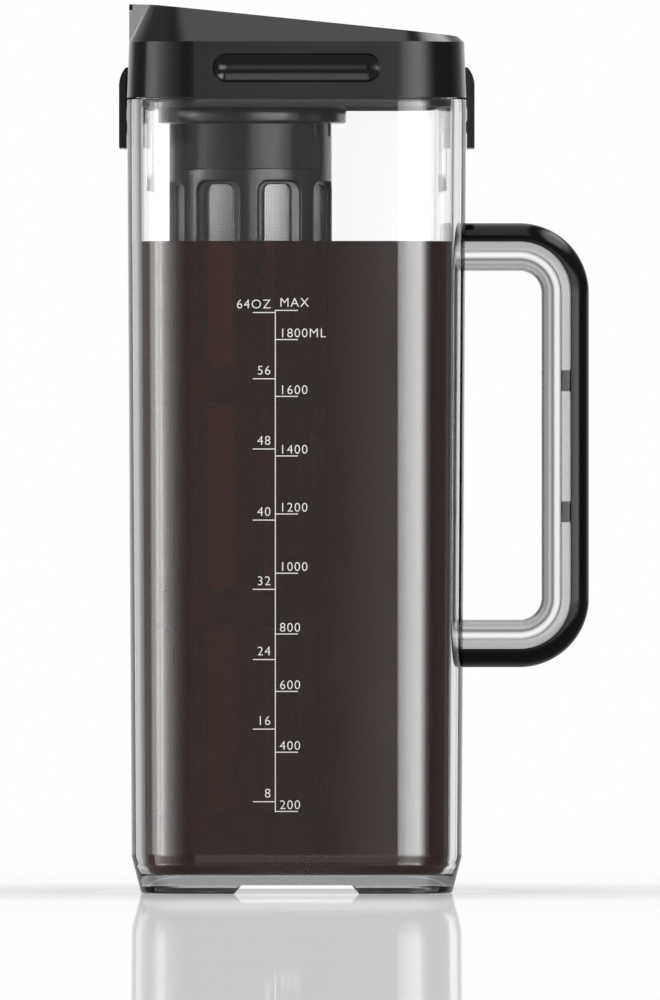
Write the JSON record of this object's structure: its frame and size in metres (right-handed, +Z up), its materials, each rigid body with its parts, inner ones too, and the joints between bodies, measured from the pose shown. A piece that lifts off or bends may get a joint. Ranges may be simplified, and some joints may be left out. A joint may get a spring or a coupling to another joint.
{
  "type": "cold brew coffee maker",
  "caption": "Clear square pitcher with a latched black wedge lid, pouring flap, hanging mesh filter and a loop handle with a dark grip.",
  "frame": {"origin": "centre of the pitcher's base on the surface it stands on", "axes": "+Z up, +X towards the handle, the spout at -X, the front of the picture at -Y"},
  "size_m": [0.1556, 0.112, 0.2939],
  "materials": {
    "clear_plastic": "polished",
    "lid_black": "satin",
    "grip_black": "gloss",
    "filter_black": "satin",
    "mesh_steel": "woven",
    "pin_steel": "satin",
    "seal_grey": "matt"
  },
  "bodies": {
    "body": {"pitcher": "clear_plastic", "handle_frame": "clear_plastic", "handle_grip": "grip_black"},
    "lid": {"lid_shell": "lid_black", "lid_base": "lid_black", "lid_seal": "seal_grey", "latch_pin_left": "pin_steel", "latch_pin_right": "pin_steel", "spout_flap_pin": "pin_steel"},
    "latch_l": {"latch_left": "lid_black"},
    "latch_r": {"latch_right": "lid_black"},
    "flap": {"spout_flap": "lid_black", "spout_seal": "seal_grey"},
    "filter": {"filter_collar": "filter_black", "filter_cage": "filter_black", "filter_mesh": "mesh_steel", "filter_base": "filter_black", "filter_gasket": "seal_grey"}
  },
  "joints": [
    {"name": "lid_lift", "type": "slide", "parent": "body", "child": "lid", "axis": [0, 0, 1], "range_m": [0, 0.54]},
    {"name": "filter_drop", "type": "slide", "parent": "lid", "child": "filter", "axis": [0, 0, -1], "range_m": [0, 0.27]},
    {"name": "latch_left_swing", "type": "hinge", "parent": "lid", "child": "latch_l", "pos_m": [-0.0534, 0, 0.2696], "axis": [0, 1, 0], "range_deg": [0, 95]},
    {"name": "latch_right_swing", "type": "hinge", "parent": "lid", "child": "latch_r", "pos_m": [0.0534, 0, 0.2696], "axis": [0, -1, 0], "range_deg": [0, 95]},
    {"name": "flap_swing", "type": "hinge", "parent": "lid", "child": "flap", "pos_m": [-0.0179, 0, 0.28808], "axis": [0, 1, 0], "range_deg": [0, 105]}
  ],
  "couplings": [
    {"joint": "filter_drop", "follows": "lid_lift", "ratio": 0.5}
  ]
}
